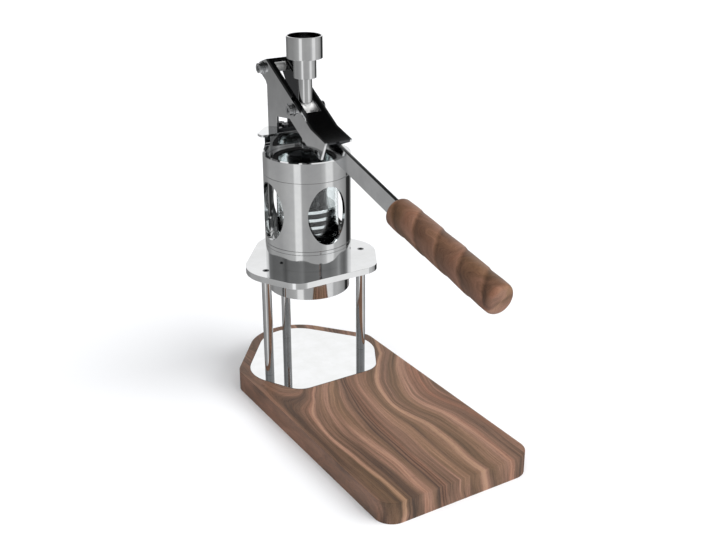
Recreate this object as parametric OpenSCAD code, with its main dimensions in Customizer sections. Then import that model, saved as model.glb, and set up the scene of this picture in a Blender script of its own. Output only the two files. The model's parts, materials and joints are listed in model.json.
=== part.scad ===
// Lever press for espresso on a wooden board: a glass brewing cylinder in a windowed
// steel shell, a piston on a hollow rod with a filling cup, and a long hand lever.
// The origin is on the table plane, under the axis of the brewing cylinder.
// +Z is up, the lever points to -Y and +X is to the right of a person at the handle.

/* [Board] */
// Thickness of the wooden board
board_t = 22.4; // [16:0.2:30]
// Reach of the board in front of the brewing axis
board_reach = 278.5; // [220:0.5:330]
// Wood left beside the base plate, at each side
board_edge_margin = 9.6; // [6:0.2:20]
// Wood left behind the base plate's slanted flanks
board_back_margin = 10.5; // [6:0.2:20]
// Corner radius of the board at the front
board_front_r = 18; // [8:1:30]
// Corner radius of the board where its sides turn into the flanks
board_flank_r = 20; // [10:1:30]
// Radius of the board's rounded back
board_nose_r = 54; // [40:1:60]

/* [Plates and legs] */
// Thickness of the base plate let into the board
base_plate_t = 4; // [3:0.2:6]
// Height by which the base plate stands proud of the board
plate_proud = 0.2; // [0.1:0.05:0.6]
// Thickness of the top plate
top_plate_t = 6.6; // [5:0.1:9]
// Angle of the plates' back flanks from the side
flank_angle = 38.3; // [34:0.1:42]
// Angle of the plates' front flanks from the side
front_flank_angle = 29.4; // [26:0.1:34]
// Plate left outside the side legs, measured square to the back flanks
plate_back_margin = 24.5; // [20:0.5:30]
// Plate left outside the side legs, measured square to the front flanks
plate_wing_margin = 15.6; // [12:0.2:20]
// Plate left in front of the shell
plate_front_margin = 17.3; // [12:0.1:24]
// Radius of the plates' back corner
plate_nose_r = 42; // [30:1:46]
// Radius of the plates' side corners
plate_wing_r = 39; // [28:1:42]
// Radius of the plates' front corners
plate_front_r = 21; // [10:1:26]
// Diameter of the legs
leg_d = 10; // [8:0.5:13]
// Clear length of the legs between the two plates
leg_len = 113; // [90:1:150]
// Distance of the side legs beyond the shell's radius, to the side
leg_out = 12.1; // [9:0.1:17]
// Distance of the side legs in front of the brewing axis
leg_ahead = 12.6; // [6:0.1:20]
// Distance of the rear leg behind the shell
leg_aft = 10.6; // [8:0.1:15]

/* [Group] */
// Outer diameter of the shell, the collar and the crown
shell_d = 90; // [86:0.5:100]
// Wall thickness of the shell
shell_wall = 4; // [3:0.1:5]
// Height of the shell between the collar and the crown
shell_h = 77; // [72:0.5:90]
// Band of the shell left below the windows
window_low = 9.8; // [7:0.1:20]
// Band of the shell left above the windows
window_high = 5.8; // [4:0.1:16]
// Width of the windows across their chord
window_w = 43; // [30:0.2:46]
// Radius of the windows' round ends
window_end_r = 17; // [10:0.5:18]
// Number of windows around the shell
window_count = 4; // [3:1:4]
// Gap between the glass cylinder and the shell
glass_gap = 9; // [7.5:0.25:12]
// Wall thickness of the glass
glass_wall = 2.6; // [2:0.1:3]
// Height of the collar on the top plate
collar_h = 17.8; // [14:0.2:22]
// Wall of the collar's spigot through the top plate
spigot_wall = 8.5; // [7:0.1:9]
// Length of the spigot from the underside of the collar
spigot_len = 11.4; // [11:0.2:16]
// Wall of the holder ring outside the spigot
holder_wall = 5.1; // [4.6:0.1:8]
// Height of the holder ring
holder_h = 25; // [23:0.5:32]
// Angle through which the holder ring unlocks
unlock_angle = 50; // [40:1:60]
// Depth of the filter basket
basket_depth = 16.6; // [14:0.2:22]

/* [Crown] */
// Height of the crown's band above the shell
band_h = 19.8; // [17:0.2:26]
// Rise of the crown's rear wall above the rim
crown_rise = 11.2; // [9:0.2:16]
// Depth of the crown's rear wall, from its cut face to the back
crown_depth = 12; // [9:0.5:14]
// Radius where the rear wall runs into the rim
crown_fillet = 6; // [3:0.5:8]
// Thickness of the plate on the crown
crown_plate_t = 2.6; // [2:0.1:4]
// Width by which that plate stands over the rear wall at each side
crown_plate_over = 3.4; // [2:0.1:7]
// Distance from that plate's rear edge to the fulcrum above it
crown_plate_short = 0.5; // [0:0.1:3]

/* [Lever] */
// Distance of the fulcrum behind the shell
fulcrum_gap = 18.5; // [16:0.5:22]
// Height of the fulcrum above the crown plate
fulcrum_rise = 62.2; // [58:0.2:70]
// Drop of the crosshead below the fulcrum with the lever down
pin_drop = 30.8; // [28:0.2:34]
// Slope of the lever's channel with the lever down
channel_slope = 29.9; // [27:0.1:32]
// Outer width of the lever's channel
channel_w = 30.6; // [29:0.2:34]
// Height of the channel's walls
channel_h = 20.3; // [19:0.1:24]
// Thickness of the channel's sheet
sheet_t = 2.5; // [2:0.1:3]
// Distance from the fulcrum to the bend, along the channel
bend_at = 108; // [100:1:120]
// Length of the lip past the bend
lip_len = 29.3; // [24:0.1:36]
// Angle by which the lip turns up at the bend
lip_turn = 15.1; // [12:0.1:18]
// Height of the lever's flat bar
bar_h = 19; // [16:0.5:22]
// Thickness of the flat bar
bar_t = 4; // [3:0.1:6]
// Length of the bar from the bend to the grip
bar_len = 139.5; // [110:0.5:160]
// Length of the wooden grip
grip_len = 151.5; // [120:0.5:180]
// Diameter of the wooden grip
grip_d = 28.4; // [26:0.2:34]
// Angle by which the grip turns up from the bar
grip_turn = 3.2; // [0:0.1:5]
// Depth of the gentle waves on the grip
grip_wave = 0.5; // [0:0.1:1]

/* [Piston and rod] */
// Height of the piston's bottom above the shell's foot with the lever down
piston_rest = 5.5; // [3:0.5:8]
// Pitch of the piston's lands
land_pitch = 8.25; // [7.4:0.05:8.3]
// Height of each land
land_h = 3.4; // [2.6:0.1:3.8]
// Diameter of the sleeve above the piston
sleeve_d = 40; // [30:1:46]
// Length of the sleeve above the piston
sleeve_h = 34; // [26:1:36]
// Diameter of the rod above the crosshead
rod_d = 14; // [13:0.2:14.4]
// Length of that rod
rod_len = 24.4; // [22:0.2:40]
// Diameter of the lower rod
lower_rod_d = 10; // [9:0.2:10.4]
// Diameter of the crosshead's barrel
barrel_d = 10.5; // [10.4:0.1:12]
// Outer diameter of the filling cup
cup_d = 36; // [30:0.5:44]
// Height of the filling cup
cup_h = 21.8; // [16:0.2:30]
// Outer diameter of the neck under the cup
neck_d = 23; // [20:0.5:26]
// Height of that neck
neck_h = 19.6; // [16:0.2:26]

/* [Hidden] */
$fn = 96;

// Overrun of every cut, and the clearances
cut = 1;
fit = 0.05;         // round pieces that turn or screw into each other
seat = 0.3;         // pieces that only guide each other
pocket_gap = 0.2;   // base plate in the board
ease = 0.002;       // straight sides stay this far inside the arcs that they meet

// Fasteners
base_screw_d = 5;
base_screw_head_d = 8.5;
base_screw_head_h = 5;
base_screw_inset = 1.5;
base_screw_bite = 12;
top_screw_d = 4;
top_screw_head_d = 7;
top_screw_len = 18;
top_socket_d = 3.6;
top_socket_depth = 1.2;
small_screw_d = 3;
small_head_d = 5.5;
small_head_h = 1.8;
collar_screw_bite = 7;
bracket_screw_d = 4;
bracket_head_d = 7;
bracket_head_h = 2.4;
hex_share = 0.48;   // width of a hex socket to its head
socket_share = 0.6; // depth of a hex socket to its head

// Levels, from the table up
plate_z = board_t + plate_proud;
pocket_z = plate_z - base_plate_t;
top_plate_z = plate_z + leg_len;
collar_z = top_plate_z + top_plate_t;
shell_z = collar_z + collar_h;
crown_z = shell_z + shell_h;
rim_z = crown_z + band_h;
crown_plate_z = rim_z + crown_rise;
bracket_z = crown_plate_z + crown_plate_t;
fulcrum_z = bracket_z + fulcrum_rise;
pin_z = fulcrum_z - pin_drop;

// Outline of the plates: each edge is its distance from the axis and the angle it faces
shell_r = shell_d / 2;
leg_side = shell_r + leg_out;
leg_behind = shell_r + leg_aft;
plate_front = shell_r + plate_front_margin;
front_flank = leg_side * cos(front_flank_angle) + leg_ahead * sin(front_flank_angle)
    + plate_wing_margin;
back_flank = leg_side * cos(flank_angle) - leg_ahead * sin(flank_angle) + plate_back_margin;
plate_edges = [[plate_front, -90], [front_flank, -front_flank_angle],
    [back_flank, flank_angle], [back_flank, 180 - flank_angle],
    [front_flank, 180 + front_flank_angle]];
plate_radii = [plate_front_r, plate_wing_r, plate_nose_r, plate_wing_r, plate_front_r];
plate_half = crossing(front_flank - plate_wing_r, -front_flank_angle,
    back_flank - plate_wing_r, flank_angle)[0] + plate_wing_r;

// Outline of the board, round the plates
board_half = plate_half + board_edge_margin;
board_back = back_flank + board_back_margin;
board_edges = [[board_reach, -90], [board_half, 0], [board_back, flank_angle],
    [board_back, 180 - flank_angle], [board_half, 180]];
board_radii = [board_front_r, board_flank_r, board_nose_r, board_flank_r, board_front_r];

// Group
shell_bore = shell_r - shell_wall;
glass_r = shell_bore - glass_gap;
bore_r = glass_r - glass_wall;
spigot_r = bore_r + spigot_wall;
holder_r = spigot_r + holder_wall;
spigot_z = collar_z - spigot_len;
ring_wall = 2.4;            // wall of the rings that centre the shell
ring_h = 5;                 // their height
glass_seat = 4;             // depth of the glass in the collar
seal_h = 1.5;               // height of the glass seals
seal_over = 0.3;            // how far the seals stay inside the glass
glass_z = shell_z - glass_seat + seal_h;
cap_lip_h = 3.6;            // height of the cap ring's guide round the glass
cap_h = 6.6;                // height of the cap ring
cap_depth = 4.5;            // depth of the cap ring's face under the rim
cap_z = rim_z - cap_depth - cap_h;
cap_lip_w = 2.5;            // width of that guide
cap_inner_r = glass_r + cap_lip_w;
glass_top = cap_z + cap_lip_h + seat;
screen_t = 1;
nose_step = 3;
nose_r = spigot_r - nose_step;
nose_h = 1.8;
gasket_h = 2;
lug_h = 2;
lug_reach = 3.1;
lug_angle = 30;
lug_play_angle = 2;
lug_count = 3;
lip_h = 1.1;
holder_gap = 0.7;
holder_top = top_plate_z - holder_gap;
holder_z = holder_top - holder_h;
groove_top = holder_top - lip_h;
groove_z = groove_top - lug_h - 2 * seat;
basket_wall = 0.8;
nose_z = spigot_z - nose_h;
gasket_z = nose_z - gasket_h;
basket_z = gasket_z - basket_depth;
basket_lip_r = nose_r;
screen_over = 0.7;
screen_r = bore_r + screen_over;
hole_d = 1.6;
hole_rings = 3;
hole_pitch = bore_r / (hole_rings + 1);
slot_w = 2.5;
slot_h = 8.5;
slot_depth = 3;
slot_angle = 257;
mark_d = 2.2;
mark_depth = 1;
mark_rise = 2;
line_w = 0.7;               // turned lines on the shell
line_depth = 0.6;
line_rise = 3.6;
collar_screw_gap = 0.9;
collar_screw_r = spigot_r + small_head_d / 2 + collar_screw_gap;
window_h = shell_h - window_low - window_high;
window_z = shell_z + window_low + window_h / 2;

// Crown plate
crown_back = shell_r - crown_depth;
crown_plate_half = sqrt(pow(shell_r, 2) - pow(crown_back, 2)) + crown_plate_over;
fulcrum_back = shell_r + fulcrum_gap;
crown_plate_end = fulcrum_back - crown_plate_short;
crown_corner_r = 4;
crown_taper_angle = 45;
ear_short = 1.5;            // from the back of the shell to where the taper starts
ear_back = shell_r - ear_short;
crown_taper = (crown_plate_half + ear_back) * cos(crown_taper_angle);
crown_taper_r = 8;
crown_edges = [[-crown_back, -90], [crown_plate_half, 0], [crown_taper, crown_taper_angle],
    [crown_plate_end, 90], [crown_taper, 180 - crown_taper_angle], [crown_plate_half, 180]];
crown_radii = [crown_corner_r, crown_taper_r, crown_taper_r, crown_taper_r, crown_taper_r,
    crown_corner_r];

// Lever, in its own frame: u runs down the channel from the fulcrum and v is square to it
boss_r = 7;
web_v = channel_h - boss_r;
web_start = 2.2;
channel_half = channel_w / 2;
inner_half = channel_half - sheet_t;
lip_end = [bend_at + lip_len * cos(lip_turn), web_v + lip_len * sin(lip_turn)];
lip_rake = 4;
far_rake = 28;              // the same on the far wall, which the lip hides from the left
lip_foot = lip_end + channel_h * [sin(lip_turn), -cos(lip_turn)]
    - lip_rake * [cos(lip_turn), sin(lip_turn)];
window_start = 6;
window_front = 15;
web_window_half = rod_d / 2 + 4 * seat;
pin_u = fulcrum_back * cos(channel_slope) + pin_drop * sin(channel_slope);
pin_v = fulcrum_back * sin(channel_slope) - pin_drop * cos(channel_slope);
slot_slope = 10;            // slope of the pin slot with the lever down
slot_turn = channel_slope - slot_slope;
slot_play = 0.55;           // play of the pin across its slot
slot_drop = pin_drop * cos(slot_slope) - fulcrum_back * sin(slot_slope);
slot_run = fulcrum_back * cos(slot_slope) + pin_drop * sin(slot_slope)
    - sqrt(pow(fulcrum_back, 2) - pow(slot_drop, 2)) + slot_play;
fulcrum_d = 8;
spacer_d = 12;
pin_d = 6;
washer_d = 13;
washer_t = 1;
head_d = 10.4;
head_h = 3.6;
washer_x = channel_half + seat;
head_x = washer_x + washer_t;
nut_af = 13;
nut_h = 5;
bar_centre = -sheet_t - bar_h / 2;
bar_start = 2;
tang_h = 12;
tang_len = 90;
grip_end_r = 6;
grip_steps = 40;
grip_waves = 3.4;
grip_overlap = 3;           // how far the bar's full height runs into the grip

// Bracket that carries the fulcrum
cheek_t = 2.5;
cheek_out = inner_half - seat;
cheek_in = cheek_out - cheek_t;
stem_w = 19.7;
stem_short = 4;             // from the back of the stem to the fulcrum
stem_end = fulcrum_back - stem_short;
stem_front = stem_end - stem_w;
knee_rise = 45;
arm_reach = 12;
arm_z = 15.6;
arm_tip_z = 19.4;
arm_tip_h = 19;
screw_span = 9;

// Crosshead, rods and piston
barrel_half = inner_half - seat - fit;
stub_len = 8;
hub_rise = 1.35;
hub_drop = 4.75;
hub_top = pin_z + barrel_d / 2 + hub_rise;
hub_low = pin_z - barrel_d / 2 - hub_drop;
thread_d = 8;
thread_len = 5;
drip_d = 5;
cup_z = hub_top + rod_len;
cup_joint_d = 10;
cup_joint_h = 8;
cup_wall = 1.5;
cup_floor = 2;
cup_cone_h = 5;
piston_z = shell_z + piston_rest;
piston_seal_count = 4;
piston_h = piston_seal_count * land_pitch + land_h;
land_gap = 0.7;
land_depth = 2.4;
land_r = bore_r - land_gap;
core_r = land_r - land_depth;
seal_r = bore_r - seat;
piston_top = piston_z + piston_h;
sleeve_top = piston_top + sleeve_h;
piston_thread = 22;
ball_d = 7.4;
valve_d = 8.6;
valve_h = 8.6;
retainer_d = 16;
retainer_h = 2.6;
retainer_holes = 4;
retainer_hole_d = 2.2;
retainer_hole_r = 4.6;

// Meeting point of two lines, each given by its distance and the angle it faces
function crossing(d1, a1, d2, a2) =
    [d1 * sin(a2) - d2 * sin(a1), d2 * cos(a1) - d1 * cos(a2)] / sin(a2 - a1);

// Point where a line from p touches a circle, on one side or the other
function touching(p, centre, r, side) =
    let (d = p - centre, a = atan2(d[1], d[0]) + side * acos(r / norm(d)))
    centre + r * [cos(a), sin(a)];

// Centres of the round corners of an outline
function corner_centres(edges, radii) = [for (i = [0:len(edges) - 1])
    let (e = edges[i], f = edges[(i + 1) % len(edges)])
    crossing(e[0] - radii[i], e[1], f[0] - radii[i], f[1])];

// Convex outline with round corners, grown evenly on all sides
module soft_outline(edges, radii, grow = 0) {
    centres = corner_centres(edges, radii);
    polygon([for (i = [0:len(edges) - 1], k = [i, (i + 1) % len(edges)])
        centres[i] + (radii[i] + grow - ease) * [cos(edges[k][1]), sin(edges[k][1])]]);
    for (i = [0:len(edges) - 1]) translate(centres[i]) circle(radii[i] + grow);
}

// Places of the three legs
module at_side_leg(side) translate([side * leg_side, -leg_ahead, 0]) children();
module at_rear_leg() translate([0, leg_behind, 0]) children();
module at_legs() {
    for (side = [-1, 1]) at_side_leg(side) children();
    at_rear_leg() children();
}

// Ring or disc between two levels
module ring(outer, inner, z, h) translate([0, 0, z]) difference() {
    cylinder(h = h, r = outer);
    translate([0, 0, -cut]) cylinder(h = h + 2 * cut, r = inner);
}
module disc(r, z, h) translate([0, 0, z]) cylinder(h = h, r = r);

// Sector of a ring
module sector(outer, inner, z, h, angle) rotate([0, 0, -angle / 2])
    rotate_extrude(angle = angle) translate([inner, z]) square([outer - inner, h]);

// Six-sided hole or nut, given across its flats
module hex(af, h) cylinder(h = h, d = af / cos(30), $fn = 6);

// Flat profile in y and z, given its width across x
module across(w) rotate([90, 0, 90]) translate([0, 0, -w / 2]) linear_extrude(w) children();

// Cylinder along x, from one place to another
module pin_x(d, from, to) translate([from, 0, 0]) rotate([0, 90, 0])
    cylinder(h = to - from, d = d);

// Frame of the lever, with u along the channel and v square to it
module on_lever() translate([0, fulcrum_back, fulcrum_z]) rotate([channel_slope, 0, 0])
    rotate([90, 0, -90]) children();
module at_fulcrum() translate([0, fulcrum_back, fulcrum_z]) children();
module at_crosshead() translate([0, 0, pin_z]) children();

// Flat-headed screw with its head's face at the origin, pointing down
module flat_screw(d, top_d, len, socket_d, socket_depth) difference() {
    union() {
        translate([0, 0, -len]) cylinder(h = len - fit, d = d);
        translate([0, 0, -(top_d - d) / 2]) cylinder(h = (top_d - d) / 2, d1 = d, d2 = top_d);
    }
    translate([0, 0, -socket_depth]) hex(socket_d, socket_depth + cut);
}

// Cap screw with the underside of its head at the origin, pointing down
module cap_screw(d, top_d, top_h, len) difference() {
    union() {
        translate([0, 0, -len]) cylinder(h = len + top_h / 2, d = d);
        cylinder(h = top_h, d = top_d);
    }
    translate([0, 0, top_h * (1 - socket_share)]) hex(top_d * hex_share, top_h);
}

// Holes in rings round the middle, as drilled in a screen
module drilled(z, h) translate([0, 0, z]) {
    cylinder(h = h, d = hole_d);
    for (n = [1:hole_rings], i = [0:6 * n - 1])
        rotate([0, 0, i * 60 / n]) translate([n * hole_pitch, 0, 0]) cylinder(h = h, d = hole_d);
}

module board() color("saddlebrown") difference() {
    linear_extrude(board_t) soft_outline(board_edges, board_radii);
    translate([0, 0, pocket_z]) linear_extrude(base_plate_t + cut)
        soft_outline(plate_edges, plate_radii, pocket_gap);
    at_legs() translate([0, 0, -cut]) {
        cylinder(h = board_t + 2 * cut, d = base_screw_d + 2 * fit);
        cylinder(h = base_screw_inset + base_screw_head_h + cut, d = base_screw_head_d + 2 * seat);
    }
}

module base_plate() color("gainsboro") difference() {
    translate([0, 0, pocket_z]) linear_extrude(base_plate_t)
        soft_outline(plate_edges, plate_radii);
    at_legs() translate([0, 0, pocket_z - cut])
        cylinder(h = base_plate_t + 2 * cut, d = base_screw_d + 2 * fit);
}

module leg() color("silver") difference() {
    translate([0, 0, plate_z]) cylinder(h = leg_len, d = leg_d);
    translate([0, 0, plate_z - cut])
        cylinder(h = base_screw_bite + 2 * cut, d = base_screw_d + 2 * fit);
    translate([0, 0, top_plate_z + top_plate_t - top_screw_len - cut])
        cylinder(h = top_screw_len + cut, d = top_screw_d + 2 * fit);
}
module leg_left() at_side_leg(-1) leg();
module leg_right() at_side_leg(1) leg();
module leg_rear() at_rear_leg() leg();

module lower_leg_screws() color("dimgray") at_legs()
    translate([0, 0, base_screw_inset + base_screw_head_h]) rotate([180, 0, 0])
    cap_screw(base_screw_d, base_screw_head_d, base_screw_head_h,
        plate_z + base_screw_bite - base_screw_inset - base_screw_head_h);

module top_plate() color("gainsboro") difference() {
    translate([0, 0, top_plate_z]) linear_extrude(top_plate_t)
        soft_outline(plate_edges, plate_radii);
    disc(spigot_r + seat, top_plate_z - cut, top_plate_t + 2 * cut);
    at_legs() translate([0, 0, collar_z]) {
        translate([0, 0, -top_plate_t - cut])
            cylinder(h = top_plate_t + 2 * cut, d = top_screw_d + 2 * fit);
        translate([0, 0, -(top_screw_head_d - top_screw_d) / 2 - fit])
            cylinder(h = (top_screw_head_d - top_screw_d) / 2 + 2 * fit,
                d1 = top_screw_d + 2 * fit, d2 = top_screw_head_d + 4 * fit);
    }
    at_collar_screws() translate([0, 0, top_plate_z - cut]) {
        cylinder(h = top_plate_t + 2 * cut, d = small_screw_d + 2 * fit);
        cylinder(h = small_head_h + seat + cut, d = small_head_d + 2 * seat);
    }
}

module upper_leg_screws() color("dimgray") at_legs() translate([0, 0, collar_z])
    flat_screw(top_screw_d, top_screw_head_d, top_screw_len, top_socket_d, top_socket_depth);

module at_collar_screws() for (i = [0:lug_count - 1])
    rotate([0, 0, 90 + i * 360 / lug_count]) translate([collar_screw_r, 0, 0]) children();

module collar_screws() color("dimgray") at_collar_screws()
    translate([0, 0, top_plate_z + small_head_h + seat]) rotate([180, 0, 0])
    cap_screw(small_screw_d, small_head_d, small_head_h,
        top_plate_t - small_head_h - seat + collar_screw_bite);

module group_collar() color("gainsboro") difference() {
    union() {
        disc(shell_r, collar_z, collar_h);
        disc(shell_bore - seat, collar_z, collar_h + ring_h);
        disc(spigot_r, spigot_z, collar_h);
        disc(nose_r, nose_z, collar_h);
        for (i = [0:lug_count - 1]) rotate([0, 0, i * 360 / lug_count])
            sector(spigot_r + lug_reach, spigot_r - fit, groove_z + seat, lug_h, lug_angle);
    }
    disc(bore_r, nose_z - cut, collar_h + spigot_len + nose_h + ring_h + 2 * cut);
    disc(screen_r + seat, nose_z - cut, screen_t + seat + cut);
    disc(glass_r + seat, shell_z - glass_seat, glass_seat + ring_h + cut);
    disc(shell_bore - seat - ring_wall, shell_z, ring_h + cut);
    rotate([0, 0, slot_angle]) translate([shell_r - slot_depth, -slot_w / 2, collar_z - cut])
        cube([slot_depth + cut, slot_w, slot_h + cut]);
    at_collar_screws() translate([0, 0, collar_z - cut])
        cylinder(h = collar_screw_bite + 2 * cut, d = small_screw_d + 2 * fit);
}

module shower_screen() color("silver") difference() {
    disc(screen_r, nose_z, screen_t);
    drilled(nose_z - cut, screen_t + 2 * cut);
}

module group_gasket() color("black") ring(nose_r, bore_r - seal_over, gasket_z, gasket_h);

module holder_ring() color("silver") difference() {
    disc(holder_r, holder_z, holder_h);
    disc(bore_r + basket_wall + seat, holder_z - cut, holder_h + 2 * cut);
    disc(basket_lip_r + seat, gasket_z - basket_wall, holder_h);
    disc(spigot_r + seat, spigot_z - seat, holder_h);
    disc(spigot_r + lug_reach + seat, groove_z, groove_top - groove_z);
    for (i = [0:lug_count - 1]) rotate([0, 0, i * 360 / lug_count - unlock_angle])
        sector(spigot_r + lug_reach + 2 * seat, spigot_r, groove_top - seat, holder_h,
            lug_angle + lug_play_angle);
}

module filter_basket() color("silver") difference() {
    union() {
        disc(bore_r + basket_wall, basket_z, basket_depth);
        disc(basket_lip_r, gasket_z - basket_wall, basket_wall);
    }
    disc(bore_r, basket_z + basket_wall, basket_depth);
    drilled(basket_z - cut, basket_wall + 2 * cut);
}

// Oval of four arcs, upright
module oval(w, h, end_r) {
    a = h / 2;
    b = w / 2;
    side_r = (a * a + b * b - 2 * a * end_r) / (2 * (b - end_r));
    meet = side_r * (a - end_r) / (side_r - end_r);
    for (s = [-1, 1]) translate([0, s * (a - end_r)]) circle(end_r);
    intersection() {
        translate([side_r - b, 0]) circle(side_r);
        translate([b - side_r, 0]) circle(side_r);
        translate([-b, -meet]) square([w, 2 * meet]);
    }
}

module shell() color("gainsboro") difference() {
    ring(shell_r, shell_bore, shell_z, shell_h);
    for (i = [0:window_count - 1]) rotate([0, 0, i * 360 / window_count])
        translate([0, 0, window_z]) rotate([90, 0, 0])
        linear_extrude(shell_r + cut) oval(window_w, window_h, window_end_r);
    for (z = [shell_z - line_w / 2, shell_z + line_rise, crown_z - line_w])
        ring(shell_r + cut, shell_r - line_depth, z, line_w);
    rotate([0, 0, slot_angle]) translate([shell_r - mark_depth, 0, shell_z + mark_rise])
        rotate([0, 90, 0]) cylinder(h = mark_depth + cut, d = mark_d);
}

module glass_cylinder() color("lightblue", 0.4)
    ring(glass_r, bore_r, glass_z, glass_top - glass_z);

module glass_seals() color("black") {
    ring(glass_r, bore_r + seal_over, shell_z - glass_seat, seal_h);
    ring(cap_inner_r - seat, bore_r + seal_over, glass_top, seal_h);
}

// Rear wall of the crown seen from the side, with the fillet at its foot
module crown_side() difference() {
    translate([crown_back - crown_fillet, rim_z - cut])
        square([shell_r, crown_rise + cut]);
    translate([crown_back - crown_fillet, rim_z + crown_fillet]) circle(crown_fillet);
    translate([crown_back - crown_fillet - cut, rim_z + crown_fillet])
        square([crown_fillet + cut, crown_rise]);
}

module crown_ring() color("gainsboro") {
    ring(shell_r, shell_bore, crown_z, band_h);
    ring(shell_bore + fit, shell_bore - seat - ring_wall, crown_z, cap_z - crown_z);
    ring(shell_bore - seat, shell_bore - seat - ring_wall, crown_z - ring_h, ring_h + cut);
    intersection() {
        ring(shell_r, shell_bore, rim_z - cut, crown_rise + cut);
        across(shell_d) crown_side();
    }
}

module cap_ring() color("silver") {
    ring(shell_bore - seat, cap_inner_r, cap_z, cap_h);
    ring(cap_inner_r + fit, glass_r + seat, cap_z, cap_lip_h);
}

module at_bracket_screws() for (s = [-1, 1])
    translate([0, stem_end - stem_w / 2 + s * screw_span / 2, bracket_z]) children();

module crown_plate() color("gainsboro") difference() {
    translate([0, 0, crown_plate_z]) linear_extrude(crown_plate_t)
        soft_outline(crown_edges, crown_radii);
    at_bracket_screws() translate([0, 0, -crown_plate_t - cut])
        cylinder(h = crown_plate_t + 2 * cut, d = bracket_screw_d + 2 * fit);
}

// Cheek of the bracket seen from the side
module cheek_side() {
    boss = [fulcrum_back, fulcrum_z];
    knee = [stem_end, bracket_z + knee_rise];
    tip = [arm_reach, bracket_z + arm_tip_z + arm_tip_h];
    polygon([[stem_front, bracket_z], [stem_end, bracket_z], knee,
        touching(knee, boss, boss_r - ease, 1), boss, touching(tip, boss, boss_r - ease, -1), tip,
        [arm_reach, bracket_z + arm_tip_z], [stem_front, bracket_z + arm_z]]);
    translate(boss) circle(boss_r);
}

module fulcrum_bracket() color("silver") difference() {
    union() {
        for (s = [-1, 1]) translate([s * (cheek_out - cheek_t / 2), 0, 0])
            across(cheek_t) cheek_side();
        translate([-cheek_out, stem_front, bracket_z])
            cube([2 * cheek_out, stem_w, cheek_t]);
    }
    at_fulcrum() pin_x(fulcrum_d + 2 * fit, -channel_half, channel_half);
    at_bracket_screws() translate([0, 0, -cut])
        cylinder(h = cheek_t + 2 * cut, d = bracket_screw_d + 2 * fit);
}

module bracket_screws() color("dimgray") at_bracket_screws() translate([0, 0, cheek_t])
    cap_screw(bracket_screw_d, bracket_head_d, bracket_head_h, cheek_t + crown_plate_t);

// Round head with a hex socket, its face toward -x
module pin_head(from) difference() {
    pin_x(head_d, from - head_h, from);
    translate([from - head_h - cut, 0, 0]) rotate([0, 90, 0])
        hex(head_d * hex_share, head_h * socket_share + cut);
}

module fulcrum_pin() color("silver") at_fulcrum() {
    pin_x(fulcrum_d, -head_x - head_h * (1 - socket_share) + fit, head_x + nut_h);
    pin_head(-head_x);
}

module washers(hole_d) for (x = [-head_x, washer_x]) difference() {
    pin_x(washer_d, x, x + washer_t);
    pin_x(hole_d + 2 * fit, x - cut, x + washer_t + cut);
}

module fulcrum_washers() color("silver") at_fulcrum() washers(fulcrum_d);

module fulcrum_nut() color("silver") at_fulcrum() translate([head_x, 0, 0]) difference() {
    rotate([0, 90, 0]) hex(nut_af, nut_h);
    pin_x(fulcrum_d + 2 * fit, -cut, nut_h + cut);
}

module fulcrum_spacer() color("white") at_fulcrum() difference() {
    pin_x(spacer_d, -cheek_in + fit, cheek_in - fit);
    pin_x(fulcrum_d + 2 * fit, -cheek_in, cheek_in);
}

// Channel of the lever seen from the side
module channel_side() {
    start = [web_start, web_v];
    low = web_v - channel_h;
    polygon([touching(start, [0, 0], boss_r - ease, 1), [0, 0], [0, low],
        [bend_at + channel_h * tan(lip_turn / 2), low], lip_foot, lip_end, [bend_at, web_v],
        start]);
    circle(boss_r);
}

// Space between the channel's walls, seen from the side
module channel_inside() {
    top = web_v - sheet_t;
    reach = lip_end + sheet_t * [sin(lip_turn), -cos(lip_turn)];
    ahead = (cut + channel_h * sin(lip_turn)) * [cos(lip_turn), sin(lip_turn)];
    polygon([[-boss_r - cut, top], [bend_at + sheet_t * tan(lip_turn / 2), top], reach + ahead,
        reach + ahead + 2 * channel_h * [0, -1], [-boss_r - cut, top - 2 * channel_h]]);
}

// Space in front of the far wall's slanted end, seen from the side
module far_slant() {
    reach = lip_end + sheet_t * [sin(lip_turn), -cos(lip_turn)];
    ahead = (cut + channel_h * sin(lip_turn)) * [cos(lip_turn), sin(lip_turn)];
    slant = channel_h * [sin(lip_turn), -cos(lip_turn)]
        - far_rake * [cos(lip_turn), sin(lip_turn)];
    polygon([reach, reach + 2 * slant, reach + ahead + 3 * channel_h * [0, -1], reach + ahead]);
}

// Slot of the crosshead's bolt in the channel's walls
module pin_slot() translate([pin_u, pin_v]) rotate(slot_turn) {
    slot_d = pin_d + 2 * slot_play;
    for (x = [slot_play, -slot_run]) translate([x, 0]) circle(d = slot_d);
    translate([-slot_run, -slot_d / 2]) square([slot_run + slot_play, slot_d]);
}

module lever_channel() color("gainsboro") on_lever() difference() {
    translate([0, 0, -channel_half]) linear_extrude(channel_w) channel_side();
    translate([0, 0, -inner_half]) linear_extrude(2 * inner_half) channel_inside();
    translate([0, 0, -channel_half - cut]) {
        linear_extrude(channel_w + 2 * cut) pin_slot();
        cylinder(h = channel_w + 2 * cut, d = fulcrum_d + 2 * fit);
    }
    translate([0, 0, -channel_half - cut]) linear_extrude(channel_half + cut) far_slant();
    translate([window_start, web_v - sheet_t - cut, -web_window_half])
        cube([pin_u + window_front - window_start, sheet_t + 2 * cut, 2 * web_window_half]);
}

// Frame at the bend, along the lip, and frame of the grip at its near end
module on_lip() on_lever() translate([bend_at, web_v, 0]) rotate([0, 0, lip_turn]) children();
module on_grip() on_lip() translate([bar_len, bar_centre, 0]) rotate([0, 0, grip_turn])
    children();

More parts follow.
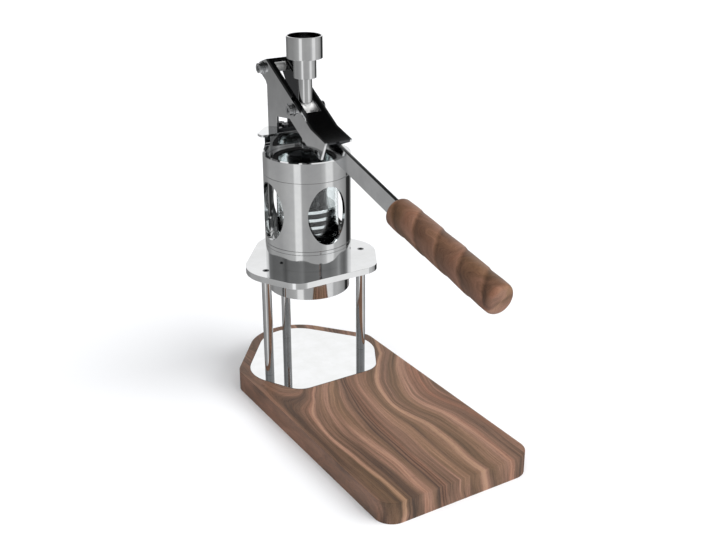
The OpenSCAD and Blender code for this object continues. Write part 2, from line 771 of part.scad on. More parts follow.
module lever_bar() color("silver") {
    on_lip() translate([bar_start, -sheet_t - bar_h, -bar_t / 2])
        cube([bar_len + grip_overlap - bar_start, bar_h, bar_t]);
    on_grip() translate([0, -tang_h / 2, -bar_t / 2]) cube([tang_len, tang_h, bar_t]);
}

// Half outline of the grip, with waves along it and round ends
function grip_r(x) = grip_d / 2 + grip_wave * sin(360 * grip_waves * x / grip_len);
function grip_points() = concat([[0, 0]],
    [for (a = [0:15:75]) [grip_r(0) - grip_end_r * (1 - sin(a)), grip_end_r * (1 - cos(a))]],
    [for (i = [0:grip_steps])
        let (x = grip_end_r + (grip_len - 2 * grip_end_r) * i / grip_steps) [grip_r(x), x]],
    [for (a = [75:-15:0]) [grip_r(grip_len) - grip_end_r * (1 - sin(a)),
        grip_len - grip_end_r * (1 - cos(a))]],
    [[0, grip_len]]);

module handle_grip() color("saddlebrown") on_grip() difference() {
    rotate([0, 90, 0]) rotate_extrude() polygon(grip_points());
    translate([-cut, -tang_h / 2 - fit, -bar_t / 2 - fit])
        cube([tang_len + seat + cut, tang_h + 2 * fit, bar_t + 2 * fit]);
    translate([-cut, -bar_h / 2 - seat, -bar_t / 2 - seat])
        cube([grip_overlap + seat + cut, bar_h + 2 * seat, bar_t + 2 * seat]);
}

module crosshead() color("white") difference() {
    union() {
        at_crosshead() pin_x(barrel_d, -barrel_half, barrel_half);
        disc(barrel_d / 2, hub_low, hub_top - hub_low);
    }
    disc(drip_d / 2, hub_low - cut, hub_top - hub_low + 2 * cut);
    disc(thread_d / 2 + fit, hub_top - thread_len - fit, thread_len + fit + cut);
    disc(thread_d / 2 + fit, hub_low - cut, thread_len + fit + cut);
    at_crosshead() for (s = [0, 180]) rotate([0, 0, s])
        pin_x(pin_d + 2 * fit, barrel_half - stub_len, barrel_half + cut);
}

module crosshead_bolts() color("silver") at_crosshead() for (s = [0, 180]) rotate([0, 0, s]) {
    pin_x(pin_d, -head_x - head_h * (1 - socket_share) + fit, stub_len - seat - barrel_half);
    pin_head(-head_x);
}

module crosshead_washers() color("silver") at_crosshead() washers(pin_d);

module upper_rod() color("silver") difference() {
    union() {
        disc(rod_d / 2, hub_top, rod_len);
        disc(thread_d / 2, hub_top - thread_len, thread_len + cut);
        disc(cup_joint_d / 2, cup_z - cut, cup_joint_h + cut);
    }
    disc(drip_d / 2, hub_top - thread_len - cut, rod_len + thread_len + cup_joint_h + 2 * cut);
}

module filling_cup() color("gainsboro") difference() {
    union() {
        disc(neck_d / 2, cup_z, neck_h);
        disc(cup_d / 2, cup_z + neck_h, cup_h);
    }
    disc(cup_joint_d / 2 + fit, cup_z - cut, cup_joint_h + fit + cut);
    disc(drip_d / 2, cup_z, neck_h + cup_h);
    disc(cup_d / 2 - cup_wall, cup_z + neck_h + cup_floor, cup_h);
    translate([0, 0, cup_z + neck_h + cup_floor - cup_cone_h])
        cylinder(h = cup_cone_h + fit, d1 = drip_d, d2 = neck_d - 2 * cup_wall);
}

module lower_rod() color("silver") difference() {
    union() {
        disc(lower_rod_d / 2, sleeve_top, hub_low - sleeve_top);
        disc(thread_d / 2, piston_top - piston_thread,
            hub_low + thread_len - piston_top + piston_thread);
    }
    disc(drip_d / 2, piston_top - piston_thread - cut,
        hub_low + thread_len - piston_top + piston_thread + 2 * cut);
}

module rod_sleeve() color("black")
    ring(sleeve_d / 2, thread_d / 2 + fit, piston_top, sleeve_h);

module piston() color("silver") difference() {
    union() {
        disc(core_r, piston_z, piston_h);
        for (i = [0:piston_seal_count]) disc(land_r, piston_z + i * land_pitch, land_h);
    }
    disc(thread_d / 2 + fit, piston_top - piston_thread - fit, piston_thread + fit + cut);
    disc(drip_d / 2, piston_z, piston_h);
    disc(valve_d / 2, piston_z, retainer_h + valve_h);
    disc(retainer_d / 2 + fit, piston_z - cut, retainer_h + cut);
}

module piston_seals() color("black") for (i = [0:piston_seal_count - 1])
    ring(seal_r, core_r + fit, piston_z + i * land_pitch + land_h + fit,
        land_pitch - land_h - 2 * fit);

module valve_ball() color("silver")
    translate([0, 0, piston_z + retainer_h + ball_d / 2]) sphere(d = ball_d);

module ball_retainer() color("dimgray") difference() {
    disc(retainer_d / 2, piston_z, retainer_h);
    for (i = [0:retainer_holes - 1]) rotate([0, 0, i * 360 / retainer_holes])
        translate([retainer_hole_r, 0, piston_z - cut])
        cylinder(h = retainer_h + 2 * cut, d = retainer_hole_d);
}

board();
base_plate();
leg_left();
leg_right();
leg_rear();
lower_leg_screws();
top_plate();
upper_leg_screws();
group_collar();
collar_screws();
shower_screen();
group_gasket();
holder_ring();
filter_basket();
shell();
glass_cylinder();
glass_seals();
crown_ring();
cap_ring();
crown_plate();
fulcrum_bracket();
bracket_screws();
fulcrum_pin();
fulcrum_washers();
fulcrum_nut();
fulcrum_spacer();
lever_channel();
lever_bar();
handle_grip();
crosshead();
crosshead_bolts();
crosshead_washers();
upper_rod();
filling_cup();
lower_rod();
rod_sleeve();
piston();
piston_seals();
valve_ball();
ball_retainer();
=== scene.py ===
# %% [markdown]
# # Lever espresso maker on a walnut board
# A press like this stands on a kitchen worktop: three legs carry a brewing group, and a long lever
# pushes its piston down. This lesson dresses a finished CAD model in Blender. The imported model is
# loaded as a fixed frame, so each piece already has its right place, and the lesson is about small
# round edges, the wooden grip and the finish of each surface.

# %% Load the frame
import json
import math

import bpy
from mathutils import Matrix, Vector


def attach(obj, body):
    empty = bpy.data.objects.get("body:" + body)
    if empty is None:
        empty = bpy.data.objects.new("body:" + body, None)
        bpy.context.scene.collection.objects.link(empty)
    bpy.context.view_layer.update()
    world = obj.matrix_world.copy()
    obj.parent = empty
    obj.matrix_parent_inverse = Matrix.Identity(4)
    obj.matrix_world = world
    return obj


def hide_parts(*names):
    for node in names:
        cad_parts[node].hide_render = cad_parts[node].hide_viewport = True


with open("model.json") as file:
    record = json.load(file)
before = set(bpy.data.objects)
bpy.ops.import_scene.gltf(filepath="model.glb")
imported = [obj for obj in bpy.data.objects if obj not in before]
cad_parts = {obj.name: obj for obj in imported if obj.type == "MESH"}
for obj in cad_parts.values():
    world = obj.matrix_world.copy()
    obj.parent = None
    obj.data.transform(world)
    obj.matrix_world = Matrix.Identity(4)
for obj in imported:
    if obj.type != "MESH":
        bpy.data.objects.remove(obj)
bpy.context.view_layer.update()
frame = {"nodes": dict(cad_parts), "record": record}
record = frame["record"]
scene = bpy.context.scene
MM = 0.001

# %% [markdown]
# Each piece has to move with its own body. The list of bodies is turned round once here, so that
# later cells can look a piece's body up by its name.

# %% Look up bodies
body_of = {n: b for b, nodes in record["behaviour"]["bodies"].items() for n in nodes}
print("bodies:", sorted(set(body_of.values())))

# %% [markdown]
# ## Colours and nodes
# Colours are written as sRGB hex texts, as a paint chart gives them, and Blender calculates with
# linear light, so one function translates. A second one adds a shader node with its settings,
# numbers and links in one line. That keeps each material below short enough to read as a recipe.

# %% Two helpers for every material
def linear(text):
    """Linear colour from a hex text in sRGB."""
    parts = [int(text[i:i + 2], 16) / 255 for i in (0, 2, 4)]
    return [c / 12.92 if c <= 0.04045 else ((c + 0.055) / 1.055) ** 2.4 for c in parts] + [1.0]


def add(tree, kind, inputs=(), out=0, stops=None, **settings):
    """Adds one node and gives its output. Inputs are numbers, colours or other outputs."""
    n = tree.nodes.new("ShaderNode" + kind)
    for name, value in settings.items():
        setattr(n, name, value)
    for key, value in inputs.items() if isinstance(inputs, dict) else enumerate(inputs):
        if isinstance(value, bpy.types.NodeSocket):
            tree.links.new(value, n.inputs[key])
        else:
            n.inputs[key].default_value = value
    if stops:
        marks = n.color_ramp.elements
        while len(marks) > 1:
            marks.remove(marks[-1])
        marks[0].position, marks[0].color = stops[0]
        for place, c in stops[1:]:
            marks.new(place).color = c
    return n.outputs if out == "all" else n.outputs[out] if len(n.outputs) else n


def new_material(name):
    """An empty material, its node tree and the object's own coordinates in millimetres."""
    m = bpy.data.materials.new(name)
    m.use_nodes = True
    tree = m.node_tree
    tree.nodes.clear()
    place = add(tree, "TexCoord", out="Object")
    return m, tree, add(tree, "VectorMath", (place, (1000, 1000, 1000)), operation="MULTIPLY")


print("steel in linear light:", [round(v, 3) for v in linear("d6d7d8")])

# %% [markdown]
# ## Walnut
# The board and the grip are oiled black walnut. Its figure is made of bands of growth, from palm
# width down to single threads, all running the same way. The trick is one coordinate that runs
# across the grain: every noise is stretched along the grain and reads that coordinate, so when the
# coordinate bends, bands, streaks and pores bend together. The widths below are in millimetres of
# real walnut: 20 mm bands, 5 mm lines, 1.3 mm threads, and pores that are drawn twice as coarse as
# real ones so that they show.

# %% Tones and bands of walnut
WALNUT_TONES = [(0.16, "4a3a30"), (0.30, "604a3c"), (0.42, "745a49"), (0.53, "866856"),
                (0.63, "957360"), (0.76, "a98470"), (0.92, "bd9880")]
# scale across, along and into the wood, detail, roughness, strength
WALNUT_BANDS = [((0.050, 0.0035, 0.020), 1.5, 0.50, 0.85),
                ((0.210, 0.0060, 0.012), 2.5, 0.60, 0.78),
                ((0.750, 0.0100, 0.030), 2.0, 0.65, 0.55)]


def walnut(name, flow, streaks, stain, contrast):
    """flow gives the coordinates across, along and into the grain, and a tone of its own.
    Each streak has its place across the grain, its width and how much lighter it is."""
    m, t, at = new_material(name)
    x, y, z = add(t, "SeparateXYZ", (at,), out="all")
    across, along, deep, tone = flow(t, at, x, y, z)
    grain = add(t, "CombineXYZ", (across, along, deep))
    band = tone
    for scale, detail, rough, strength in WALNUT_BANDS:
        spot = add(t, "VectorMath", (grain, scale), operation="MULTIPLY")
        n = add(t, "TexNoise", {"Vector": spot, "Scale": 1.0, "Detail": detail,
                                "Roughness": rough}, out="Fac")
        n = add(t, "Math", (n, 0.5), operation="SUBTRACT")
        band = add(t, "Math", (n, strength * contrast, band), operation="MULTIPLY_ADD")
    # threads cross the bands at a very small angle, as fibres do where the saw cut them
    skew = add(t, "Math", (x, 0.25, across), operation="MULTIPLY_ADD")
    thread = add(t, "CombineXYZ", (skew, along, deep))
    spot = add(t, "VectorMath", (thread, (2.0, 0.040, 0.35)), operation="MULTIPLY")
    fibre = add(t, "TexNoise", {"Vector": spot, "Scale": 1.0, "Detail": 4.0, "Roughness": 0.75},
                out="Fac")
    n = add(t, "Math", (fibre, 0.5), operation="SUBTRACT")
    band = add(t, "Math", (n, 0.46, band), operation="MULTIPLY_ADD")
    for place, width, lift in streaks:
        off = add(t, "Math", (across, place), operation="SUBTRACT")
        off = add(t, "Math", (off, width), operation="DIVIDE")
        off = add(t, "Math", (off, off), operation="MULTIPLY")
        off = add(t, "Math", (off, -1.0), operation="MULTIPLY")
        peak = add(t, "Math", (off,), operation="EXPONENT")
        band = add(t, "Math", (peak, lift, band), operation="MULTIPLY_ADD")
    c = add(t, "ValToRGB", (band,), stops=[(v, linear(h)) for v, h in WALNUT_TONES])
    # walnut has zones of green-grey and of reddish brown
    spot = add(t, "VectorMath", (grain, (0.065, 0.003, 0.02)), operation="MULTIPLY")
    hue = add(t, "TexNoise", {"Vector": spot, "Scale": 1.0, "Detail": 1.0}, out="Fac")
    for low, high, tint in ((0.50, 0.68, "dfe2d0"), (0.46, 0.30, "f4e2d8")):
        much = add(t, "MapRange", (hue, low, high, 0.0, 0.8))
        c = add(t, "Mix", {0: much, 6: c, 7: linear(tint)}, 2, data_type="RGBA",
                blend_type="MULTIPLY")
    spot = add(t, "VectorMath", (thread, (3.4, 0.14, 3.4)), operation="MULTIPLY")
    pores = add(t, "TexNoise", {"Vector": spot, "Scale": 1.0, "Detail": 2.0, "Roughness": 0.6},
                out="Fac")
    pore = add(t, "MapRange", (pores, 0.58, 0.68, 0.0, 0.7))
    c = add(t, "Mix", {0: pore, 6: c, 7: linear("a39184")}, 2, data_type="RGBA",
            blend_type="MULTIPLY")
    c = add(t, "Mix", {0: 1.0, 6: c, 7: stain + (1.0,)}, 2, data_type="RGBA",
            blend_type="MULTIPLY")
    # oil leaves a soft sheen, and each pore is a tiny groove in it
    rough = add(t, "MapRange", (fibre, 0.3, 0.7, 0.42, 0.56))
    height = add(t, "Math", (pore, -0.8, fibre), operation="MULTIPLY_ADD")
    bump = add(t, "Bump", {"Height": height, "Strength": 0.22, "Distance": 0.00025})
    wood = add(t, "BsdfPrincipled", {"Base Color": c, "Roughness": rough,
                                     "Specular IOR Level": 0.40, "Normal": bump})
    add(t, "OutputMaterial", {"Surface": wood})
    return m


print("walnut ready:", len(WALNUT_TONES), "tones,", len(WALNUT_BANDS), "widths of band")

# %% [markdown]
# ### Figure of the board
# On this board the grain runs straight at the front and swings to the right as it nears the metal
# plate. The coordinate across the grain is x, moved by a smooth bend that grows toward the back,
# with two slow noises so that no line is drawn with a ruler. The list of streaks then sets the
# light and dark lines that the eye picks out first.

# %% Board figure
BOARD_STREAKS = [(-78, 5.0, -.20), (-70, 1.2, -.12), (-66, 1.6, .26), (-62.5, 0.9, -.14),
                 (-56, 4.5, -.17), (-47, 1.0, -.14), (-39, 4.5, .12), (-27, 1.2, -.20),
                 (-22, 0.9, -.26), (-18.5, 0.8, -.22), (-13, 1.5, -.10), (-3, 4.0, .10),
                 (6, 0.9, -.14), (18, 5.0, -.18), (26.5, 1.0, -.12), (30, 2.2, .24),
                 (40, 5.5, -.12), (49, 1.0, -.14), (57, 2.2, .15), (65, 4.0, -.14), (77, 2.0, .15)]


def board_flow(t, at, x, y, z):
    rise = add(t, "Math", (y, 172.0), operation="ADD")
    rise = add(t, "Math", (rise, 0.0), operation="MAXIMUM")
    bend = add(t, "Math", (rise, rise), operation="MULTIPLY")
    bend = add(t, "Math", (bend, 0.0031), operation="MULTIPLY")
    limit = add(t, "Math", (rise, 0.42), operation="MULTIPLY")
    bend = add(t, "Math", (bend, limit), operation="MINIMUM")
    smooth = {"interpolation_type": "SMOOTHSTEP"}
    left = add(t, "MapRange", (x, -82.0, -44.0, 0.0, 1.0), **smooth)
    bend = add(t, "Math", (bend, left), operation="MULTIPLY")
    across = add(t, "Math", (x, bend), operation="SUBTRACT")
    dip_x = add(t, "MapRange", (x, -12.0, 28.0, 0.0, 14.0), **smooth)
    dip_y = add(t, "MapRange", (y, -188.0, -125.0, 0.0, 1.0), **smooth)
    across = add(t, "Math", (dip_x, dip_y, across), operation="MULTIPLY_ADD")
    for scale, detail, rough, size in (((0.012, 0.0075, 0.012), 1.0, 0.4, 26.0),
                                       ((0.040, 0.014, 0.040), 1.5, 0.5, 7.0)):
        spot = add(t, "VectorMath", (at, scale), operation="MULTIPLY")
        n = add(t, "TexNoise", {"Vector": spot, "Scale": 1.0, "Detail": detail,
                                "Roughness": rough}, out="Fac")
        n = add(t, "Math", (n, 0.5), operation="SUBTRACT")
        across = add(t, "Math", (n, size, across), operation="MULTIPLY_ADD")
    across = add(t, "Math", (z, 0.06, across), operation="MULTIPLY_ADD")
    return across, y, z, 0.55


board_walnut = walnut("oiled_walnut_board", board_flow, BOARD_STREAKS, (0.83, 0.79, 0.765), 1.0)
print("board figure:", len(BOARD_STREAKS), "streaks")

# %% [markdown]
# ### Frame of the grip
# The grip hangs on the lever's bar, which leaves the folded sheet at 15.1 degrees. Its own frame
# has x along it and y up, and the same few turns as in the CAD model lead there from the fulcrum
# pin. Both its figure and its shape are made in this frame.

# %% Frame of the grip
def turn(axis, degrees):
    return Matrix.Rotation(math.radians(degrees), 4, axis)


GRIP_LEN = 151.5
FLUTE_PITCH = 33.0                 # mm along the grip from one flute to the next
to_lever = Matrix.Translation((0, 63.5, 332.8)) @ turn("X", 29.9) @ turn("Z", -90) @ turn("X", 90)
to_bar = to_lever @ Matrix.Translation((108, 13.3, 0)) @ turn("Z", 15.1)
to_grip = to_bar @ Matrix.Translation((139.5, -12, 0)) @ turn("Z", 3.2)
print("grip starts at", [round(v, 1) for v in to_grip.translation], "mm")

# %% [markdown]
# ### Figure of the grip
# Where a hand-shaped flute cuts through the growth bands, walnut shows one light and one dark slope
# per flute. A ramp round the flute paints these, its crest light and its valley dark: partly that
# figure, partly painted light and shade of the flute's relief. A slow noise softens it, the cloudy
# figure of the wood lies under it with its lines at a slant, and the far end, cut across the grain,
# is lighter.

# %% Grip figure
# brightness at places round one flute: light on the crest, dark in the valley, partly the wood's
# figure and partly painted light and shade
FLUTE_LIGHT_AND_SHADE = [(0.0, .18), (0.05, .30), (0.15, .78), (0.32, .66), (0.62, .48), (0.88, .36),
               (1.0, .18)]


def grip_flow(t, at, x, y, z):
    off = add(t, "VectorMath", (at, tuple(to_grip.translation)), operation="SUBTRACT")
    u, v, w = [add(t, "VectorMath", (off, tuple(axis)), out="Value", operation="DOT_PRODUCT")
               for axis in to_grip.to_3x3().col]
    across = add(t, "Math", (w, 0.8), operation="MULTIPLY")
    across = add(t, "Math", (u, 0.55, across), operation="MULTIPLY_ADD")
    across = add(t, "Math", (v, across), operation="ADD")
    for scale, size in (((0.045, 0.030, 0.045), 34.0), ((0.12, 0.08, 0.12), 6.0)):
        spot = add(t, "VectorMath", (at, scale), operation="MULTIPLY")
        n = add(t, "TexNoise", {"Vector": spot, "Scale": 1.0, "Detail": 1.5}, out="Fac")
        n = add(t, "Math", (n, 0.5), operation="SUBTRACT")
        across = add(t, "Math", (n, size, across), operation="MULTIPLY_ADD")
    along = add(t, "Math", (v, -0.5), operation="MULTIPLY")
    along = add(t, "Math", (u, 0.8, along), operation="MULTIPLY_ADD")
    deep = add(t, "Math", (w, v), operation="SUBTRACT")
    # place within a flute, from 0 to 1
    spot = add(t, "VectorMath", (at, (0.07, 0.07, 0.07)), operation="MULTIPLY")
    wobble = add(t, "TexNoise", {"Vector": spot, "Scale": 1.0, "Detail": 2.0}, out="Fac")
    q = add(t, "Math", (w, v), operation="ARCTAN2")
    q = add(t, "Math", (q, math.pi), operation="DIVIDE")
    turns = add(t, "Math", (u, FLUTE_PITCH), operation="DIVIDE")
    q = add(t, "Math", (q, turns), operation="SUBTRACT")
    q = add(t, "Math", (q, -0.11), operation="ADD")
    q = add(t, "Math", (wobble, 0.22, q), operation="MULTIPLY_ADD")
    q = add(t, "Math", (q,), operation="FRACT")
    # paints each flute's crest lighter and its valley darker: painted light and shade over the
    # figure
    tone = add(t, "ValToRGB", (q,), stops=[(p, (c, c, c, 1)) for p, c in FLUTE_LIGHT_AND_SHADE])
    tone = add(t, "Math", (tone, 0.55, 0.55 - 0.27), operation="MULTIPLY_ADD")
    end = add(t, "MapRange", (u, GRIP_LEN - 4, GRIP_LEN - 0.5, 0.0, 0.22))
    return across, along, deep, add(t, "Math", (tone, end), operation="ADD")


grip_walnut = walnut("oiled_walnut_grip", grip_flow, [], (0.66, 0.59, 0.55), 0.55)
print("grip figure:", len(FLUTE_LIGHT_AND_SHADE), "tones in each flute")

# %% [markdown]
# ## Stainless steel
# Most of the press is stainless steel, and only the last tool that touched it differs: a polishing
# wheel, a lathe, an abrasive belt or a drawing die. All of them share one recipe, a metal with the
# default IOR whose marks follow the tool's path: the scale is small along the path and large
# across it. Real tool marks are finer than a pixel, so they are drawn about a millimetre apart, and
# shallow. A slow cloud changes colour and gloss a little, as handling does. For folded sheet the
# recipe also takes the half width between its walls: what lies nearer to the middle plane gets
# painted shade, a dark grey colour and a duller gloss, for the dark inner faces between the walls.

# %% Steel recipe
# dark grey painted on the faces between a folded sheet's walls: painted shade
INNER_PAINTED_SHADE = "4a4b4d"


def steel(name, tints, rough, marks, depth, wear, shade_half_width=0.0):
    """marks is the noise scale along x, y and z in 1/mm, depth the strength of the bump."""
    m, t, at = new_material(name)
    noises = []
    for scale, detail, rough_n in ((marks, 4.0, 0.7), ((0.05, 0.05, 0.05), 3.0, 0.6),
                                   ([v * 4 for v in marks], 2.0, 0.5)):
        spot = add(t, "VectorMath", (at, scale), operation="MULTIPLY")
        noises.append(add(t, "TexNoise", {"Vector": spot, "Scale": 1.0, "Detail": detail,
                                          "Roughness": rough_n}, out="Fac"))
    line, cloud, fine = noises
    r = rough
    for n in (line, cloud):
        n = add(t, "Math", (n, 0.5), operation="SUBTRACT")
        r = add(t, "Math", (n, wear, r), operation="MULTIPLY_ADD")
    much = add(t, "MapRange", (cloud, 0.35, 0.65, 0.0, 1.0))
    c = add(t, "Mix", {0: much, 6: linear(tints[0]), 7: linear(tints[1])}, 2, data_type="RGBA")
    # faces nearer the middle plane than the given half width get painted shade: a dark grey colour
    # and more roughness
    if shade_half_width:
        x = add(t, "SeparateXYZ", (at,))
        x = add(t, "Math", (x,), operation="ABSOLUTE")
        inner_shade = add(t, "Math", (x, shade_half_width), operation="LESS_THAN")
        c = add(t, "Mix", {0: inner_shade, 6: c, 7: linear(INNER_PAINTED_SHADE)}, 2, data_type="RGBA")
        r = add(t, "Math", (inner_shade, 0.12, r), operation="MULTIPLY_ADD")
    r = add(t, "Math", (r, 0.015), operation="MAXIMUM")
    height = add(t, "Math", (fine, 0.5, line), operation="MULTIPLY_ADD")
    bump = add(t, "Bump", {"Height": height, "Strength": depth, "Distance": 0.0001})
    metal = add(t, "BsdfPrincipled", {"Base Color": c, "Metallic": 1.0, "Roughness": r,
                                      "Normal": bump})
    add(t, "OutputMaterial", {"Surface": metal})
    return m


# polished with a wheel: the eye sees the room, not the plate
mirror_plate = steel("mirror_polished_steel", ("e6e7e7", "ecedee"), 0.022, (0.5, 0.015, 0.5),
                     0.002, 0.008)
# folded and polished sheet, with painted shade between its walls
BELT = (0.4, 0.02, 0.02)
bar_steel = steel("polished_bar_steel", ("d4d5d6", "dedfe0"), 0.06, BELT, 0.008, 0.02)
channel_steel = steel("folded_channel_steel", ("d4d5d6", "dedfe0"), 0.05, BELT, 0.008, 0.02, 12.85)
bracket_steel = steel("folded_bracket_steel", ("d4d5d6", "dedfe0"), 0.06, BELT, 0.008, 0.02, 12.2)
# turned on a lathe: rings round z, which smear reflections a little up and down
RINGS = (0.02, 0.02, 2.2)
cup_steel = steel("fine_turned_steel", ("d8d9da", "e0e1e1"), 0.03, RINGS, 0.006, 0.01)
turned = steel("turned_steel", ("d6d7d8", "dedfdf"), 0.07, RINGS, 0.012, 0.03)
# drawn rod: marks along z
drawn = steel("drawn_steel_rod", ("d2d3d4", "dcdddd"), 0.06, (0.6, 0.6, 0.02), 0.01, 0.03)
# bolts, washers and baskets are tumbled or stamped, and stay satin
satin = steel("satin_steel_hardware", ("c3c4c6", "cfd0d1"), 0.22, (0.05, 0.9, 0.05), 0.04, 0.10)
# screws are blackened
blackened = steel("blackened_steel", ("5c5d60", "6a6b6e"), 0.30, (0.8, 0.8, 0.8), 0.05, 0.10)
print("finishes of steel:", [m.name for m in bpy.data.materials if "steel" in m.name])

# %% [markdown]
# ## Glass
# The cylinder is drawn borosilicate tube: clear, with an IOR of 1.47 and a waviness so faint that
# it only stirs the reflections. A clear body with full transmission gives both, and its walls are
# real in the mesh, so it bends light as the tube does.

# %% Borosilicate glass
def borosilicate(name):
    m, t, at = new_material(name)
    spot = add(t, "VectorMath", (at, (0.05, 0.05, 0.02)), operation="MULTIPLY")
    wave = add(t, "TexNoise", {"Vector": spot, "Scale": 1.0, "Detail": 3.0, "Roughness": 0.55},
               out="Fac")
    r = add(t, "MapRange", (wave, 0.3, 0.7, 0.0, 0.03))
    body = add(t, "BsdfPrincipled", {"Base Color": linear("f4f8f8"), "Roughness": r, "IOR": 1.47,
                                     "Transmission Weight": 1.0})
    add(t, "OutputMaterial", {"Surface": body})
    return m


clear_glass = borosilicate("borosilicate_glass")
print("glass:", clear_glass.name)

# %% [markdown]
# ## Rubber and plastic
# Seals are moulded nitrile rubber, matt with a fine skin from the mould. The sleeve is black
# acetal, and the crosshead and the spacer are white acetal, a hard slippery plastic that is
# machined from rod and looks evenly white with a soft sheen. The three differ only in colour, gloss
# and grain, so one recipe serves them. Their grain is finer than a pixel, so it is drawn coarser
# than it is, at a third to two thirds of a millimetre.

# %% Nitrile rubber and acetal
def moulded(name, dark, light, rough, grain, depth, gloss=0.4):
    """Rubber or plastic with the fine grain of its mould, `grain` in 1/mm."""
    m, t, at = new_material(name)
    spot = add(t, "VectorMath", (at, (grain, grain, grain)), operation="MULTIPLY")
    n = add(t, "TexNoise", {"Vector": spot, "Scale": 1.0, "Detail": 3.0, "Roughness": 0.6},
            out="Fac")
    spot = add(t, "VectorMath", (at, (0.06, 0.06, 0.06)), operation="MULTIPLY")
    cloud = add(t, "TexNoise", {"Vector": spot, "Scale": 1.0, "Detail": 2.0, "Roughness": 0.55},
                out="Fac")
    much = add(t, "MapRange", (cloud, 0.35, 0.65, 0.0, 1.0))
    c = add(t, "Mix", {0: much, 6: linear(dark), 7: linear(light)}, 2, data_type="RGBA")
    r = add(t, "MapRange", (n, 0.3, 0.7, rough - 0.06, rough + 0.06))
    bump = add(t, "Bump", {"Height": n, "Strength": depth, "Distance": 0.0001})
    body = add(t, "BsdfPrincipled", {"Base Color": c, "Roughness": r, "Normal": bump,
                                     "Specular IOR Level": gloss})
    add(t, "OutputMaterial", {"Surface": body})
    return m


nitrile = moulded("nitrile_rubber", "101011", "191919", 0.62, 3.0, 0.15)
black_acetal = moulded("black_acetal", "141416", "1c1c1f", 0.38, 2.0, 0.08)
white_acetal = moulded("white_acetal", "f6f6f4", "fcfcfb", 0.32, 1.5, 0.03, 0.5)
print("made", len(bpy.data.materials), "materials so far")

# %% [markdown]
# ## Pieces from the frame
# A CAD node is a set of loose triangles with knife-sharp edges. No real edge is like that: a file
# or a tumbler takes a few tenths of a millimetre off, and that narrow band catches the light. So a
# copy of each node is merged, its flat faces are joined, its sharp edges are bevelled in edit mode,
# and a weighted normal keeps the flats flat. A Bevel modifier could do it too, but edit mode lets a
# piece have one bevel on some edges and a smaller one on the rest. These helpers pick such edges.

# %% Select and bevel
SHARP = math.radians(28)           # two faces that turn more than this meet in an edge
FLAT = math.radians(0.4)           # faces that turn less than this become one face
MERGE = 2e-6                       # points nearer than this become one, in metres
EASE_STEPS, ROUND_STEPS = 3, 4     # faces across a broken edge and across a rounded one


def only(piece):
    """Makes one object the active and only selected one."""
    bpy.ops.object.select_all(action="DESELECT")
    piece.select_set(True)
    bpy.context.view_layer.objects.active = piece


def keep_edges(piece, test):
    """In edit mode, selects of the selected edges only those that pass the test, in mm."""
    bpy.ops.object.mode_set(mode="OBJECT")
    mesh = piece.data
    co = [v.co * 1000 for v in mesh.vertices]
    keep = [e.select and test(*[co[i] for i in e.vertices]) for e in mesh.edges]
    # a face or a point that is still marked would bring its other edges back
    mesh.polygons.foreach_set("select", [False] * len(mesh.polygons))
    mesh.vertices.foreach_set("select", [False] * len(mesh.vertices))
    mesh.edges.foreach_set("select", keep)
    bpy.ops.object.mode_set(mode="EDIT")


def bevel_sharp(piece, width, test=None):
    bpy.ops.mesh.select_all(action="DESELECT")
    bpy.ops.mesh.edges_select_sharp(sharpness=SHARP)
    if test:
        keep_edges(piece, test)
    # without loop slide a bevel keeps its width where it turns a corner
    bpy.ops.mesh.bevel(offset=width * MM, offset_type="OFFSET",
                       segments=ROUND_STEPS if test else EASE_STEPS, profile=0.5, affect="EDGES",
                       clamp_overlap=True, loop_slide=False)


print("edges sharper than", round(math.degrees(SHARP)), "degrees get a bevel")

# %% [markdown]
# A finished copy takes over from its node: it gets the finish and moves with the node's body, and
# the node itself is hidden. One function does this for all pieces, so that none is forgotten, and
# another makes the whole copy.

# %% Copy, ease and stand for the node
def stand_for(piece, node, finish):
    """The piece takes over the node's place and body, and gets its finish."""
    piece.data.materials.clear()
    piece.data.materials.append(finish)
    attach(piece, body_of[node])
    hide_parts(node)


def eased(node, finish, width, wide=0, test=None):
    """Copy of a node with bevelled edges. Edges that pass the test get the wide bevel first."""
    piece = bpy.data.objects.new(node + "_dressed", frame["nodes"][node].data.copy())
    scene.collection.objects.link(piece)
    only(piece)
    bpy.ops.object.mode_set(mode="EDIT")
    bpy.ops.mesh.select_mode(type="EDGE")
    bpy.ops.mesh.select_all(action="SELECT")
    bpy.ops.mesh.remove_doubles(threshold=MERGE)
    bpy.ops.mesh.dissolve_limited(angle_limit=FLAT)
    if wide:
        bevel_sharp(piece, wide, test)
    bevel_sharp(piece, width)
    bpy.ops.object.mode_set(mode="OBJECT")
    bpy.ops.object.shade_smooth_by_angle(angle=SHARP)
    mod = piece.modifiers.new("even", "WEIGHTED_NORMAL")
    mod.keep_sharp = True
    bpy.ops.object.modifier_apply(modifier=mod.name)
    stand_for(piece, node, finish)
    return piece


print("nodes to dress:", len(frame["nodes"]))

# %% [markdown]
# ### Board and plates
# The board's outer edges are rounded by hand with a router, 1.3 mm here, and the rims of its pocket
# and screw holes are only broken. So its outer edges are picked by their place. The plates are cut
# from thick sheet and polished, and keep tight edges that draw a thin bright line.

# %% Board, base plate, top plate
# what lies past these places is the board's outside, clear of its pocket and screw holes
OUTER_SIDE, OUTER_FRONT, OUTER_BACK = 74.5, -90, 52


def outside(*ends):
    return all(abs(p.x) > OUTER_SIDE or p.y < OUTER_FRONT or p.y > OUTER_BACK for p in ends)


board = eased("board", board_walnut, 0.25, 1.3, outside)
for node, width in (("base_plate", 0.25), ("top_plate", 0.45), ("crown_plate", 0.25)):
    eased(node, mirror_plate, width)
print("board has", len(board.data.polygons), "faces")

